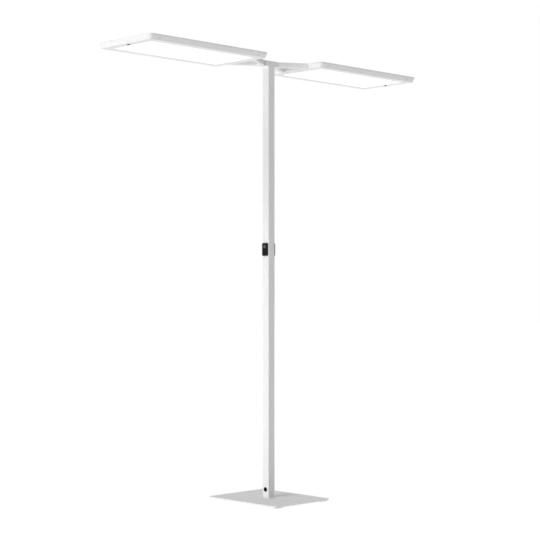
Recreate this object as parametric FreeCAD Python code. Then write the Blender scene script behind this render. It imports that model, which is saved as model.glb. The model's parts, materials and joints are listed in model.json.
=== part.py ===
import FreeCAD, Part
import math
import os
from FreeCAD import Vector

# A twin-head office floor lamp. The origin is on the floor under the middle of the base, +Z up.
# The heads lie along X. Each right-hand piece is built on the +X side, and its left-hand twin
# is the same piece turned half a turn about the column's axis.

# Overall
lamp_height = 1948.5
head_height = 23.5

# Base plate, its feet and the screws that hold the column
base_length_x = 340.0
base_length_y = 427.0
base_thickness = 8.0
base_corner_radius = 10.0
base_edge_chamfer = 0.6
base_underside_chamfer = 6.4
foot_side = 48.0
foot_thickness = 2.5
foot_corner_radius = 8.0
foot_inset = 7.0
foot_block_height = 24.0
base_screw_radius = 3.0
base_screw_head_radius = 5.8
base_screw_head_depth = 3.2
base_screw_length = 24.0
base_screw_spacing = 18.0

# Column
column_side = 38.0
column_wall = 2.5
column_corner_radius = 1.6
plug_clearance = 0.2
grub_radius = 3.0
grub_length = 6.4
grub_recess = 0.3
grub_from_column_end = 12.0

# Fits shared by several pieces
screw_clearance = 0.05
pin_clearance = 0.04
press_clearance = 0.01
cover_clearance = 0.15
cut_overrun = 5.0
level_tolerance = 0.001

# Cable inlet near the foot of the column
inlet_height_above_base = 36.7
inlet_flange_radius = 9.75
inlet_flange_depth = 2.6
inlet_flange_chamfer = 0.7
inlet_body_radius = 8.0
inlet_body_depth = 18.0
inlet_recess_radius = 6.5
inlet_recess_depth = 13.0
inlet_nut_flats = 19.0
inlet_nut_thickness = 3.0
contact_radius = 0.9
contact_length = 6.0
contact_root = 4.0
contact_circle_radius = 3.2
contact_count = 3

# Control units at hand height
control_height = 1110.0
control_width = 33.0
control_length = 57.0
control_depth = 6.4
control_corner_radius = 5.0
control_edge_radius = 1.6
control_wall = 1.6
control_plate_clearance = 0.2
control_plate_thickness = 1.4
control_post_height = 0.4
control_post_side = 3.0
control_board_margin = 1.5
control_board_thickness = 0.8
control_cable_radius = 3.5
control_screw_radius = 1.5
control_screw_head_radius = 2.8
control_screw_head_depth = 1.3
control_screw_length = 6.0
control_screw_offset = 20.0
button_radius = 7.5
button_clearance = 0.08
button_offset = 12.5
button_rise = 0.8
button_travel = 0.8
button_flange_radius = 8.3
button_flange_thickness = 0.6
button_flange_gap = 0.1
button_dish_radius = 6.0
button_dish_depth = 0.5
switch_side = 6.0

# Connector on top of the column
connector_half_length = 44.5
connector_pocket_half_length = 23.0
connector_wall = 4.0
connector_floor = 4.0
cover_half_length = 30.0
cover_margin = 2.2
cover_thickness = 2.5
cover_screw_radius = 1.5
cover_screw_head_radius = 2.8
cover_screw_head_depth = 1.5
cover_screw_length = 7.0
cover_screw_from_end = 3.5
spigot_length = 60.0
spigot_wall = 4.0
cable_bore_radius = 3.0
cable_bore_offset = 8.0

# Upright hinge between the connector and each wing
joint_seam = 0.6
pin_radius = 2.5
pin_end_recess = 0.5
pin_to_wing = 5.6
pin_depth = 5.0
knuckle_radius = 4.3
knuckle_clearance = 0.4
middle_knuckle_height = 8.0
bush_wall = 0.6
bush_flange_radius = 4.1
bush_flange_thickness = 0.5
bush_running_gap = 0.1

# Wings
wing_end_half_width = 92.0
wing_top = 3.0
wing_rim = 17.0
wing_flange = 3.5
wing_screw_radius = 2.5
wing_screw_head_radius = 4.2
wing_screw_head_height = 5.0
wing_screw_length = 16.0
wing_screw_height = 11.0
wing_screw_spacing = 30.0
wing_screw_count = 4

# Heads, with places along X measured from the column's axis
head_inner_end = 162.0
head_outer_end = 823.5
head_width = 335.0
head_lip = 5.0
head_side_inset = 8.0
head_corner_radius = 21.0
head_cap_length = 56.0
head_skin = 2.0
head_rim_thickness = 2.5
head_rim_width = 38.5
head_rib = 1.5
head_rib_from_panel = 6.75
cap_wall = 2.5
cap_tongue_length = 14.0
cap_tongue_width = 16.0
cap_tongue_height = 6.0
cap_tongue_offset = 100.0
cap_screw_radius = 1.5
cap_screw_head_radius = 2.8
cap_screw_head_depth = 1.6
cap_screw_length = 7.0
cap_boss_radius = 5.0

# Light engine inside each head
panel_clearance = 0.3
panel_corner_radius = 4.0
panel_flange_width = 5.0
panel_flange_thickness = 1.5
guide_thickness = 4.0
guide_edge_gap = 0.3
reflector_thickness = 0.5
strip_thickness = 1.6
strip_height = 4.5
strip_end_gap = 2.0
driver_length = 280.0
driver_width = 40.0
driver_height = 11.0

# Presence and daylight sensor in each outer end cap
sensor_from_end = 27.5
sensor_radius = 7.0
sensor_drop = 3.2
sensor_flange_radius = 8.5
sensor_flange_thickness = 1.0
window_radius = 2.0
window_offset = 20.0
sensor_module_length_x = 20.0
sensor_module_length_y = 56.0
sensor_module_height = 6.0

# Places worked out from the sizes above
base_bottom = foot_thickness
base_top = base_bottom + base_thickness
inlet_height = base_top + inlet_height_above_base
head_top = lamp_height
head_bottom = lamp_height - head_height
lip_bottom = head_top - head_lip
column_half = column_side / 2
column_inner_half = column_half - column_wall
plug_half = column_inner_half - plug_clearance
head_half_width = head_width / 2
panel_half_width = head_half_width - head_side_inset - head_rim_width
panel_inner_end = head_inner_end + head_side_inset + head_rim_width
panel_outer_end = head_outer_end - head_side_inset - head_rim_width
panel_seat = head_bottom + head_rim_thickness
guide_bottom = panel_seat + panel_flange_thickness
inner_seam = head_inner_end + head_cap_length
outer_seam = head_outer_end - head_cap_length
rib_inner_half = panel_half_width + head_rib_from_panel
wing_start = connector_half_length + joint_seam
pin_x = wing_start - pin_to_wing
pin_y = column_half - pin_depth
middle_knuckle_bottom = head_bottom + (head_height - middle_knuckle_height) / 2
middle_knuckle_top = middle_knuckle_bottom + middle_knuckle_height
bush_gap = bush_flange_thickness + bush_running_gap
bush_outer_radius = pin_radius + pin_clearance + bush_wall
flange_face = head_inner_end - wing_flange
sensor_x = head_outer_end - sensor_from_end
control_front = column_half + control_depth
control_board_back = column_half + control_plate_thickness + control_post_height
control_board_front = control_board_back + control_board_thickness
button_back = control_front - control_wall - button_flange_gap - button_flange_thickness
up = Vector(0, 0, 1)
down = Vector(0, 0, -1)
along_x = Vector(1, 0, 0)


def block(x0, x1, y0, y1, z0, z1):
    return Part.makeBox(x1 - x0, y1 - y0, z1 - z0, Vector(x0, y0, z0))


def centred_block(x, y, half_x, half_y, z0, z1):
    return block(x - half_x, x + half_x, y - half_y, y + half_y, z0, z1)


def rod(radius, start, direction, length):
    return Part.makeCylinder(radius, length, start, direction)


def prism(points, sweep):
    return Part.Face(Part.makePolygon(points + points[:1])).extrude(sweep)


def rounded_outline(x0, x1, y0, y1, radius, z):
    corners = [(x1 - radius, y1 - radius), (x0 + radius, y1 - radius),
               (x0 + radius, y0 + radius), (x1 - radius, y0 + radius)]
    arcs = []
    for index, (x, y) in enumerate(corners):
        arcs.append(Part.makeCircle(radius, Vector(x, y, z), up, 90 * index, 90 * (index + 1)))
    edges = []
    for arc, following in zip(arcs, arcs[1:] + arcs[:1]):
        side_start = arc.valueAt(arc.LastParameter)
        side_end = following.valueAt(following.FirstParameter)
        edges += [arc, Part.makeLine(side_start, side_end)]
    return Part.Wire(edges)


def rounded_slab(x0, x1, y0, y1, radius, z0, z1):
    return Part.Face(rounded_outline(x0, x1, y0, y1, radius, z0)).extrude(Vector(0, 0, z1 - z0))


def edges_at_level(shape, z):
    found = []
    for edge in shape.Edges:
        box = edge.BoundBox
        if abs(box.ZMin - z) < level_tolerance and abs(box.ZMax - z) < level_tolerance:
            found.append(edge)
    return found


def turned(shape):
    twin = shape.copy()
    twin.rotate(Vector(0, 0, 0), up, 180)
    return twin


# A countersunk screw with its flat head at head_face, pointing along direction. A looseness of
# zero gives the screw, and a clearance gives the hole that it sits in.
def countersunk(head_face, direction, radius, head_radius, head_depth, length, looseness=0):
    head = Part.makeCone(head_radius + looseness, radius + looseness, head_depth, head_face, direction)
    shank = rod(radius + looseness, head_face, direction, length + looseness)
    return head.fuse(shank).removeSplitter()


# Base and column

def base_screws(looseness=0):
    screws = []
    for side_x in (-1, 1):
        for side_y in (-1, 1):
            place = Vector(side_x * base_screw_spacing / 2, side_y * base_screw_spacing / 2, base_bottom)
            screws.append(countersunk(place, up, base_screw_radius, base_screw_head_radius,
                                      base_screw_head_depth, base_screw_length, looseness))
    return screws


def grub_screws(z):
    depth = column_half - grub_recess
    return [rod(grub_radius, Vector(depth, 0, z), Vector(-1, 0, 0), grub_length),
            rod(grub_radius, Vector(0, depth, z), Vector(0, -1, 0), grub_length)]


def grub_holes(z):
    radius = grub_radius + screw_clearance
    start = column_half + cut_overrun
    length = cut_overrun + grub_recess + grub_length + screw_clearance
    return [rod(radius, Vector(start, 0, z), Vector(-1, 0, 0), length),
            rod(radius, Vector(0, start, z), Vector(0, -1, 0), length)]


def base_plate():
    half_x = base_length_x / 2
    half_y = base_length_y / 2
    plate = rounded_slab(-half_x, half_x, -half_y, half_y, base_corner_radius, base_bottom, base_top)
    plate = plate.makeChamfer(base_edge_chamfer, edges_at_level(plate, base_top))
    plate = plate.makeChamfer(base_underside_chamfer, edges_at_level(plate, base_bottom))
    return plate.cut(base_screws(screw_clearance))


def base_feet():
    reach = foot_inset + foot_side / 2
    feet = []
    for side_x in (-1, 1):
        for side_y in (-1, 1):
            x = side_x * (base_length_x / 2 - reach)
            y = side_y * (base_length_y / 2 - reach)
            half = foot_side / 2
            feet.append(rounded_slab(x - half, x + half, y - half, y + half,
                                     foot_corner_radius, 0, foot_thickness))
    return Part.makeCompound(feet)


def column_foot():
    foot = centred_block(0, 0, plug_half, plug_half, base_top, base_top + foot_block_height)
    holes = base_screws(screw_clearance) + grub_holes(base_top + grub_from_column_end)
    return foot.cut(holes)


def column():
    half = column_half
    inner = column_inner_half
    tube = rounded_slab(-half, half, -half, half, column_corner_radius, base_top, head_bottom)
    holes = [centred_block(0, 0, inner, inner, base_top - cut_overrun, head_bottom + cut_overrun)]
    holes += grub_holes(base_top + grub_from_column_end)
    holes += grub_holes(head_bottom - grub_from_column_end)
    holes.append(rod(inlet_body_radius + screw_clearance, Vector(-half - cut_overrun, 0, inlet_height),
                     along_x, column_wall + 2 * cut_overrun))
    side_holes = [rod(control_cable_radius, Vector(inner - cut_overrun, 0, control_height),
                      along_x, column_wall + 2 * cut_overrun)]
    for side in (-1, 1):
        start = Vector(inner - cut_overrun, 0, control_height + side * control_screw_offset)
        side_holes.append(rod(control_screw_radius + screw_clearance, start, along_x,
                              column_wall + 2 * cut_overrun))
    holes += side_holes + [turned(hole) for hole in side_holes]
    return tube.cut(holes)


# Cable inlet, facing -X

def contact_places(x):
    places = []
    for index in range(contact_count):
        angle = 2 * math.pi * index / contact_count
        places.append(Vector(x, contact_circle_radius * math.sin(angle),
                             inlet_height + contact_circle_radius * math.cos(angle)))
    return places


def inlet_socket():
    front = -column_half - inlet_flange_depth
    rim = Part.makeCone(inlet_flange_radius - inlet_flange_chamfer, inlet_flange_radius,
                        inlet_flange_chamfer, Vector(front, 0, inlet_height), along_x)
    flange = rod(inlet_flange_radius, Vector(front + inlet_flange_chamfer, 0, inlet_height), along_x,
                 inlet_flange_depth - inlet_flange_chamfer)
    body = rod(inlet_body_radius, Vector(-column_half, 0, inlet_height), along_x, inlet_body_depth)
    recess = rod(inlet_recess_radius, Vector(front - cut_overrun, 0, inlet_height), along_x,
                 cut_overrun + inlet_recess_depth)
    roots = []
    for place in contact_places(front + inlet_recess_depth):
        roots.append(rod(contact_radius + press_clearance, place, along_x, contact_root))
    return rim.fuse([flange, body]).cut([recess] + roots).removeSplitter()


def inlet_contacts():
    tip = -column_half - inlet_flange_depth + inlet_recess_depth - contact_length
    pins = [rod(contact_radius, place, along_x, contact_length + contact_root)
            for place in contact_places(tip)]
    return Part.makeCompound(pins)


def inlet_nut():
    corner_radius = inlet_nut_flats / 2 / math.cos(math.pi / 6)
    corners = []
    for index in range(6):
        angle = index * math.pi / 3
        corners.append(Vector(-column_inner_half, corner_radius * math.cos(angle),
                              inlet_height + corner_radius * math.sin(angle)))
    nut = prism(corners, Vector(inlet_nut_thickness, 0, 0))
    return nut.cut(rod(inlet_body_radius + screw_clearance, Vector(-column_half, 0, inlet_height),
                       along_x, column_wall + inlet_nut_thickness + cut_overrun))


# Control units. A piece is built lying down, with its outward side up and its lower end at +X,
# and is then stood against the column's +X face.

def on_column_face(shape):
    stood = shape.copy()
    stood.rotate(Vector(0, 0, 0), Vector(0, 1, 0), 90)
    stood.translate(Vector(0, 0, control_height))
    return stood


def control_screws(looseness=0):
    screws = []
    for side in (-1, 1):
        place = Vector(side * control_screw_offset, 0, column_half + control_plate_thickness)
        screws.append(countersunk(place, down, control_screw_radius, control_screw_head_radius,
                                  control_screw_head_depth, control_screw_length, looseness))
    return screws


def control_housing():
    half_length = control_length / 2
    half_width = control_width / 2
    shell = rounded_slab(-half_length, half_length, -half_width, half_width,
                         control_corner_radius, column_half, control_front)
    shell = shell.makeFillet(control_edge_radius, edges_at_level(shell, control_front))
    inner_length = half_length - control_wall
    inner_width = half_width - control_wall
    hollow = rounded_slab(-inner_length, inner_length, -inner_width, inner_width,
                          control_corner_radius - control_wall, column_half - cut_overrun,
                          control_front - control_wall)
    hole = rod(button_radius + button_clearance, Vector(-button_offset, 0, column_half), up,
               control_depth + cut_overrun)
    return on_column_face(shell.cut([hollow, hole]))


def control_plate():
    border = control_wall + control_plate_clearance
    half_length = control_length / 2 - border
    half_width = control_width / 2 - border
    plate_front = column_half + control_plate_thickness
    plate = rounded_slab(-half_length, half_length, -half_width, half_width,
                         control_corner_radius - border, column_half, plate_front)
    post_half = control_post_side / 2
    posts = []
    for side_x in (-1, 1):
        for side_y in (-1, 1):
            x = side_x * (half_length - control_board_margin - post_half)
            y = side_y * (half_width - control_board_margin - post_half)
            posts.append(centred_block(x, y, post_half, post_half, plate_front, control_board_back))
    cable_hole = rod(control_cable_radius, Vector(0, 0, column_half - cut_overrun), up,
                     control_plate_thickness + 2 * cut_overrun)
    holes = control_screws(screw_clearance) + [cable_hole]
    return on_column_face(plate.fuse(posts).cut(holes))


def control_board():
    border = control_wall + control_plate_clearance + control_board_margin
    return on_column_face(centred_block(0, 0, control_length / 2 - border, control_width / 2 - border,
                                        control_board_back, control_board_front))


def control_switch():
    switch_top = button_back - button_travel - button_flange_gap
    return on_column_face(centred_block(-button_offset, 0, switch_side / 2, switch_side / 2,
                                        control_board_front, switch_top))


def control_button():
    place = Vector(-button_offset, 0, button_back)
    button_front = control_front + button_rise
    flange = rod(button_flange_radius, place, up, button_flange_thickness)
    cap = rod(button_radius, place, up, button_front - button_back)
    dish_ball_radius = (button_dish_radius ** 2 + button_dish_depth ** 2) / (2 * button_dish_depth)
    dish_centre = Vector(-button_offset, 0, button_front - button_dish_depth + dish_ball_radius)
    dish = Part.makeSphere(dish_ball_radius, dish_centre)
    return on_column_face(flange.fuse(cap).cut(dish).removeSplitter())


# Connector and hinges. The right-hand hinge is at the connector's +X, +Y corner.

def hinge_notch():
    reach = knuckle_radius + knuckle_clearance
    low = head_bottom - cut_overrun
    high = head_top + cut_overrun
    end = connector_half_length + cut_overrun
    round_part = rod(reach, Vector(pin_x, pin_y, low), up, high - low)
    side_part = block(pin_x - reach, end, pin_y, column_half + cut_overrun, low, high)
    end_part = block(pin_x, end, pin_y - reach, pin_y, low, high)
    return round_part.fuse([side_part, end_part])


def middle_knuckle():
    root = pin_y - knuckle_radius - knuckle_clearance - joint_seam
    barrel = rod(knuckle_radius, Vector(pin_x, pin_y, middle_knuckle_bottom), up, middle_knuckle_height)
    web = block(pin_x - knuckle_radius, pin_x + knuckle_radius, root, pin_y,
                middle_knuckle_bottom, middle_knuckle_top)
    return barrel.fuse(web)


def pin_bore(radius):
    return rod(radius, Vector(pin_x, pin_y, head_bottom - cut_overrun), up, head_height + 2 * cut_overrun)


def cable_bore():
    start = Vector(connector_pocket_half_length - cut_overrun, -cable_bore_offset,
                   (head_bottom + head_top) / 2)
    return rod(cable_bore_radius, start, along_x, wing_start + wing_rim + cut_overrun - start.x)


def cover_screws(looseness=0):
    x = cover_half_length - cover_screw_from_end
    screws = []
    for side in (-1, 1):
        screws.append(countersunk(Vector(side * x, 0, head_top), down, cover_screw_radius,
                                  cover_screw_head_radius, cover_screw_head_depth,
                                  cover_screw_length, looseness))
    return screws


def connector_body():
    half = connector_half_length
    beam = block(-half, half, -column_half, column_half, head_bottom, head_top)
    beam = beam.cut([hinge_notch(), turned(hinge_notch())])
    spigot = centred_block(0, 0, plug_half, plug_half, head_bottom - spigot_length, head_bottom)
    beam = beam.fuse([middle_knuckle(), turned(middle_knuckle()), spigot])
    pocket_half = connector_pocket_half_length
    bore_half = plug_half - spigot_wall
    seat_half_width = column_half - cover_margin
    pocket = centred_block(0, 0, pocket_half, column_half - connector_wall,
                           head_bottom + connector_floor, head_top + cut_overrun)
    seat = centred_block(0, 0, cover_half_length, seat_half_width,
                         head_top - cover_thickness, head_top + cut_overrun)
    shaft = centred_block(0, 0, bore_half, bore_half, head_bottom - spigot_length - cut_overrun, head_top)
    bores = [pin_bore(pin_radius + press_clearance), cable_bore()]
    holes = [pocket, seat, shaft] + bores + [turned(bore) for bore in bores]
    holes += cover_screws(screw_clearance) + grub_holes(head_bottom - grub_from_column_end)
    return beam.cut(holes).removeSplitter()


def connector_cover():
    cover = centred_block(0, 0, cover_half_length - cover_clearance,
                          column_half - cover_margin - cover_clearance,
                          head_top - cover_thickness, head_top)
    return cover.cut(cover_screws(screw_clearance))


def hinge_pin():
    return rod(pin_radius, Vector(pin_x, pin_y, head_bottom + pin_end_recess), up,
               head_height - 2 * pin_end_recess)


def hinge_bush(flange_start, direction, length):
    place = Vector(pin_x, pin_y, flange_start)
    flange = rod(bush_flange_radius, place, direction, bush_flange_thickness)
    sleeve = rod(bush_outer_radius, place, direction, length)
    bore = rod(pin_radius + pin_clearance, place, direction, length)
    return flange.fuse(sleeve).cut(bore).removeSplitter()


def hinge_bushes():
    upper_start = middle_knuckle_top + bush_running_gap
    lower_start = middle_knuckle_bottom - bush_running_gap
    return Part.makeCompound([hinge_bush(upper_start, up, head_top - upper_start),
                              hinge_bush(lower_start, down, lower_start - head_bottom)])


# Head shell. The outline is the head's plan at a level, drawn in by inset all round.

def head_outline(z, inset):
    slope_share = max(0, (lip_bottom - z) / (lip_bottom - head_bottom))
    drawn_in = head_side_inset * slope_share + inset
    half_width = head_half_width - drawn_in
    return rounded_outline(head_inner_end + drawn_in, head_outer_end - drawn_in,
                           -half_width, half_width, head_corner_radius - drawn_in, z)


def head_form(inset, z_low, z_high):
    upper = Part.Face(head_outline(lip_bottom, inset)).extrude(Vector(0, 0, z_high - lip_bottom))
    lower = Part.makeLoft([head_outline(z_low, inset), head_outline(lip_bottom, inset)], True, True)
    return upper.fuse(lower).removeSplitter()


def panel_opening():
    return rounded_slab(panel_inner_end, panel_outer_end, -panel_half_width, panel_half_width,
                        panel_corner_radius, head_bottom - cut_overrun, panel_seat)


def cap_screws(seam, inward, looseness=0):
    x = seam + inward * cap_tongue_length / 2
    screws = []
    for side in (-1, 1):
        screws.append(countersunk(Vector(x, side * cap_tongue_offset, head_top), down, cap_screw_radius,
                                  cap_screw_head_radius, cap_screw_head_depth,
                                  cap_screw_length, looseness))
    return screws


def head_profile():
    chamber_top = head_top - head_skin
    chamber_start = rib_inner_half + head_rib
    upper_y = head_half_width - head_skin
    lower_share = (lip_bottom - panel_seat) / (lip_bottom - head_bottom)
    lower_y = upper_y - head_side_inset * lower_share
    section = [Vector(inner_seam, head_half_width, head_top),
               Vector(inner_seam, head_half_width, lip_bottom),
               Vector(inner_seam, head_half_width - head_side_inset, head_bottom)]
    section += [Vector(point.x, -point.y, point.z) for point in reversed(section)]
    sweep = Vector(outer_seam - inner_seam, 0, 0)
    chamber = prism([Vector(inner_seam, chamber_start, chamber_top),
                     Vector(inner_seam, upper_y, chamber_top),
                     Vector(inner_seam, upper_y, lip_bottom),
                     Vector(inner_seam, lower_y, panel_seat),
                     Vector(inner_seam, chamber_start, panel_seat)], sweep)
    twin_chamber = chamber.mirror(Vector(0, 0, 0), Vector(0, 1, 0))
    middle = block(inner_seam, outer_seam, -rib_inner_half, rib_inner_half, panel_seat, chamber_top)
    window = block(inner_seam, outer_seam, -panel_half_width, panel_half_width,
                   head_bottom - cut_overrun, panel_seat)
    holes = [chamber, twin_chamber, middle, window]
    holes += cap_screws(inner_seam, 1, screw_clearance) + cap_screws(outer_seam, -1, screw_clearance)
    return prism(section, sweep).cut(holes)


# A moulded end cap: the head's form between its seam and its end, hollow and open to the seam,
# with two tongues that reach inward under the profile's top.
def end_cap(seam, inward):
    end = seam - inward * (head_cap_length + cut_overrun)
    keep = block(min(seam, end), max(seam, end), -head_width, head_width, 0, 2 * head_top)
    shell = head_form(0, head_bottom, head_top)
    shell = shell.cut([head_form(cap_wall, panel_seat, head_top - head_skin), panel_opening()])
    tongue_top = head_top - head_skin
    tongues = []
    for side in (-1, 1):
        tongues.append(centred_block(seam, side * cap_tongue_offset, cap_tongue_length,
                                     cap_tongue_width / 2, tongue_top - cap_tongue_height, tongue_top))
    return shell.common(keep).fuse(tongues).cut(cap_screws(seam, inward, screw_clearance))


def wing_screw_places():
    middle = (wing_screw_count - 1) / 2
    return [Vector(flange_face, (index - middle) * wing_screw_spacing, head_bottom + wing_screw_height)
            for index in range(wing_screw_count)]


def wing_screw_holes():
    radius = wing_screw_radius + screw_clearance
    return [rod(radius, place, along_x, wing_screw_length + screw_clearance)
            for place in wing_screw_places()]


def inner_end_cap():
    boss_length = flange_face + wing_screw_length + cap_wall - head_inner_end
    bosses = []
    for place in wing_screw_places():
        start = Vector(head_inner_end, place.y, place.z)
        bosses.append(rod(cap_boss_radius, start, along_x, boss_length))
    solid_bosses = Part.makeCompound(bosses).common(head_form(0, head_bottom, head_top))
    cap = end_cap(inner_seam, 1).fuse(solid_bosses.Solids)
    return cap.cut(wing_screw_holes()).removeSplitter()


def outer_end_cap():
    holes = [rod(sensor_radius + screw_clearance, Vector(sensor_x, 0, head_bottom - cut_overrun), up,
                 cut_overrun + head_rim_thickness)]
    for side in (-1, 1):
        place = Vector(sensor_x, side * window_offset, head_bottom - cut_overrun)
        holes.append(rod(window_radius + screw_clearance, place, up, cut_overrun + head_rim_thickness))
    return end_cap(outer_seam, -1).cut(holes).removeSplitter()


def end_cap_screws():
    return Part.makeCompound(cap_screws(inner_seam, 1) + cap_screws(outer_seam, -1))


# Wing: a flat bracket that widens from the connector to the head, hollow underneath.

def wing_half_width(x):
    slope = (wing_end_half_width - column_half) / (head_inner_end + head_side_inset - wing_start)
    return column_half + slope * (x - wing_start)


def wing_plan(x0, x1, rim, z0, z1):
    slope_angle = math.atan2(wing_half_width(x1) - wing_half_width(x0), x1 - x0)
    sideways = rim / math.cos(slope_angle)
    near = wing_half_width(x0) - sideways
    far = wing_half_width(x1) - sideways
    return prism([Vector(x0, -near, z0), Vector(x1, -far, z0), Vector(x1, far, z0), Vector(x0, near, z0)],
                 Vector(0, 0, z1 - z0))


def wing_knuckle(z0, z1):
    barrel = rod(knuckle_radius, Vector(pin_x, pin_y, z0), up, z1 - z0)
    web = block(pin_x, wing_start + joint_seam, pin_y - knuckle_radius, pin_y + knuckle_radius, z0, z1)
    return barrel.fuse(web)


def wing_bracket():
    far_end = head_inner_end + head_side_inset
    plate = wing_plan(wing_start, far_end, 0, head_bottom, head_top)
    plate = plate.cut(head_form(0, head_bottom, head_top))
    pocket = wing_plan(wing_start + wing_rim, flange_face, wing_rim,
                       head_bottom - cut_overrun, head_top - wing_top)
    knuckles = [wing_knuckle(middle_knuckle_top + bush_gap, head_top),
                wing_knuckle(head_bottom, middle_knuckle_bottom - bush_gap)]
    holes = [pocket, cable_bore(), pin_bore(bush_outer_radius + press_clearance)] + wing_screw_holes()
    return plate.fuse(knuckles).cut(holes).removeSplitter()


def wing_screws():
    screws = []
    for place in wing_screw_places():
        head_start = Vector(place.x - wing_screw_head_height, place.y, place.z)
        head = rod(wing_screw_head_radius, head_start, along_x, wing_screw_head_height)
        shank = rod(wing_screw_radius, head_start, along_x, wing_screw_head_height + wing_screw_length)
        screws.append(head.fuse(shank).removeSplitter())
    return Part.makeCompound(screws)


# Light engine

def diffuser_panel():
    gap = panel_clearance
    reach = panel_flange_width
    face = rounded_slab(panel_inner_end + gap, panel_outer_end - gap,
                        -panel_half_width + gap, panel_half_width - gap,
                        panel_corner_radius, head_bottom, panel_seat)
    flange = block(panel_inner_end - reach, panel_outer_end + reach, -panel_half_width - reach,
                   panel_half_width + reach, panel_seat, guide_bottom)
    return face.fuse(flange)


def guide_slab(z0, z1):
    half_width = rib_inner_half - strip_thickness - guide_edge_gap
    return block(panel_inner_end - panel_flange_width, panel_outer_end + panel_flange_width,
                 -half_width, half_width, z0, z1)


def light_guide():
    return guide_slab(guide_bottom, guide_bottom + guide_thickness)


def reflector():
    start = guide_bottom + guide_thickness
    return guide_slab(start, start + reflector_thickness)


def led_strips():
    strips = []
    for side in (-1, 1):
        middle = side * (rib_inner_half - strip_thickness / 2)
        strips.append(block(inner_seam + strip_end_gap, outer_seam - strip_end_gap,
                            middle - strip_thickness / 2, middle + strip_thickness / 2,
                            guide_bottom, guide_bottom + strip_height))
    return Part.makeCompound(strips)


def led_driver():
    top = head_top - head_skin
    return centred_block((inner_seam + outer_seam) / 2, 0, driver_length / 2, driver_width / 2,
                         top - driver_height, top)


# Sensor

def sensor_lens():
    ball_radius = (sensor_radius ** 2 + sensor_drop ** 2) / (2 * sensor_drop)
    ball = Part.makeSphere(ball_radius, Vector(sensor_x, 0, head_bottom - sensor_drop + ball_radius))
    below = rod(sensor_radius, Vector(sensor_x, 0, head_bottom - sensor_drop), up, sensor_drop)
    body = rod(sensor_radius, Vector(sensor_x, 0, head_bottom), up, head_rim_thickness)
    flange = rod(sensor_flange_radius, Vector(sensor_x, 0, panel_seat), up, sensor_flange_thickness)
    return ball.common(below).fuse([body, flange]).removeSplitter()


def sensor_windows():
    windows = []
    for side in (-1, 1):
        place = Vector(sensor_x, side * window_offset, head_bottom)
        windows.append(rod(window_radius, place, up, head_rim_thickness + sensor_flange_thickness))
    return Part.makeCompound(windows)


def sensor_module():
    bottom = panel_seat + sensor_flange_thickness
    return centred_block(sensor_x, 0, sensor_module_length_x / 2, sensor_module_length_y / 2,
                         bottom, bottom + sensor_module_height)


pieces = {
    "base_plate": base_plate(),
    "base_feet": base_feet(),
    "base_screws": Part.makeCompound(base_screws()),
    "column_foot": column_foot(),
    "column_foot_grub_screws": Part.makeCompound(grub_screws(base_top + grub_from_column_end)),
    "column": column(),
    "column_top_grub_screws": Part.makeCompound(grub_screws(head_bottom - grub_from_column_end)),
    "inlet_socket": inlet_socket(),
    "inlet_contacts": inlet_contacts(),
    "inlet_nut": inlet_nut(),
    "connector_body": connector_body(),
    "connector_cover": connector_cover(),
    "connector_cover_screws": Part.makeCompound(cover_screws()),
}
right_hand_pieces = {
    "control_housing": control_housing(),
    "control_plate": control_plate(),
    "control_plate_screws": Part.makeCompound([on_column_face(screw) for screw in control_screws()]),
    "control_board": control_board(),
    "control_switch": control_switch(),
    "control_button": control_button(),
    "hinge_pin": hinge_pin(),
    "hinge_bushes": hinge_bushes(),
    "wing_bracket": wing_bracket(),
    "wing_screws": wing_screws(),
    "head_profile": head_profile(),
    "inner_end_cap": inner_end_cap(),
    "outer_end_cap": outer_end_cap(),
    "end_cap_screws": end_cap_screws(),
    "diffuser_panel": diffuser_panel(),
    "light_guide": light_guide(),
    "reflector": reflector(),
    "led_strips": led_strips(),
    "led_driver": led_driver(),
    "sensor_lens": sensor_lens(),
    "sensor_windows": sensor_windows(),
    "sensor_module": sensor_module(),
}
for name, shape in right_hand_pieces.items():
    pieces["right_" + name] = shape
    pieces["left_" + name] = turned(shape)

os.makedirs("parts", exist_ok=True)
for name, shape in pieces.items():
    shape.exportStep("parts/" + name + ".step")
    state = "valid" if shape.isValid() else "not valid"
    print(name, len(shape.Solids), "solids", round(shape.Volume), "mm3", state)
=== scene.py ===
import bpy
import bmesh
import json
import math
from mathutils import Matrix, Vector


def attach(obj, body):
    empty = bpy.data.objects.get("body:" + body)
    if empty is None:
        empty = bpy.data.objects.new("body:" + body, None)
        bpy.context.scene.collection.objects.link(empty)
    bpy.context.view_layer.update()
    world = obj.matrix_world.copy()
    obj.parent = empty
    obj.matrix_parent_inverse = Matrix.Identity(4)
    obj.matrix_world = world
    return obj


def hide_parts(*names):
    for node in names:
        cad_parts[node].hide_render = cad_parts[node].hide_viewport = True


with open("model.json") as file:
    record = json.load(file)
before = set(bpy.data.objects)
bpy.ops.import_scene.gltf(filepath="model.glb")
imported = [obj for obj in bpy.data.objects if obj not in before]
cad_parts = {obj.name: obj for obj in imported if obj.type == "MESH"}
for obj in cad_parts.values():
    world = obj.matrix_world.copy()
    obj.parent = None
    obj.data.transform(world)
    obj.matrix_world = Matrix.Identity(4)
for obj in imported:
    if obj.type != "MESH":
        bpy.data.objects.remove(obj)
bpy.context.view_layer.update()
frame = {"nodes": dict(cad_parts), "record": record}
print("frame loaded with", len(frame["nodes"]), "nodes")

# The camera stands at chest height, in front of the near corner of the base
cameraSettings = {
    "position": (-4.321, -4.413, 0.912),
    "heading": 44.453,        # degrees from +Y towards +X
    "tiltUp": 0.992,
    "focalLength": 92.57,     # millimetres, as is the width of the sensor
    "sensorWidth": 36,
    "clipEnd": 200,
}


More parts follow.
